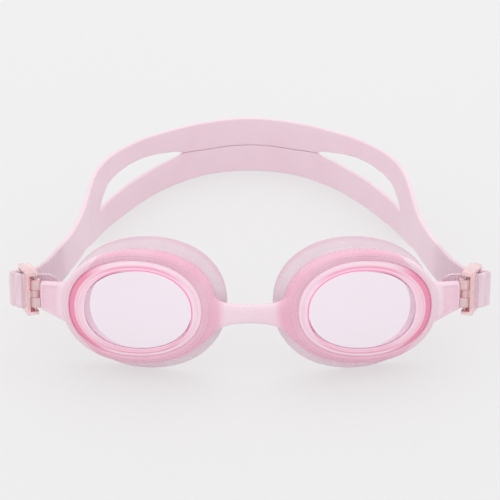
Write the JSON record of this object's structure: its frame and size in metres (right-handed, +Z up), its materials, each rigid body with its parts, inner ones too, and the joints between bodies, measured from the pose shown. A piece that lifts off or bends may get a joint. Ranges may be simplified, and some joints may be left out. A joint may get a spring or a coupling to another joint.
{
  "type": "swim goggles",
  "caption": "Swim goggles with tinted oval cup lenses in a soft silicone frame, swivelling clear buckles and a split silicone head strap.",
  "frame": {"origin": "on the floor, under the middle of the whole object as it stands on its seals and strap", "axes": "+Z up, +Y from the lenses towards the back of the head, +X towards the wearer's left"},
  "size_m": [0.179, 0.1855, 0.049],
  "materials": {
    "frame_silicone": "translucent pink silicone, satin with a soft gloss",
    "seal_silicone": "thin pale pink translucent silicone, soft satin",
    "strap_silicone": "milky pink translucent silicone, matte satin",
    "lens_tint": "clear polycarbonate with a light pink tint, polished",
    "clear_plastic": "clear pink hard plastic, polished",
    "pin_steel": "plain drawn steel pin"
  },
  "bodies": {
    "frame": {"frame": "frame_silicone", "left_lens": "lens_tint", "right_lens": "lens_tint", "left_face_seal": "seal_silicone", "right_face_seal": "seal_silicone", "left_tongue": "clear_plastic", "right_tongue": "clear_plastic", "strap": "strap_silicone"},
    "left_buckle": {"left_buckle": "clear_plastic", "left_hinge_pin": "pin_steel", "left_strap_end": "strap_silicone"},
    "right_buckle": {"right_buckle": "clear_plastic", "right_hinge_pin": "pin_steel", "right_strap_end": "strap_silicone"}
  },
  "joints": [
    {"name": "left_buckle_swivel", "type": "hinge", "parent": "frame", "child": "left_buckle", "pos_m": [0.0794, -0.07263, 0.02782], "axis": [0, 0.225, 0.9744], "range_deg": [-20, 12], "stiffness_Nm_per_rad": 0.004},
    {"name": "right_buckle_swivel", "type": "hinge", "parent": "frame", "child": "right_buckle", "pos_m": [-0.0794, -0.07263, 0.02782], "axis": [0, 0.225, 0.9744], "range_deg": [-12, 20], "stiffness_Nm_per_rad": 0.004}
  ]
}
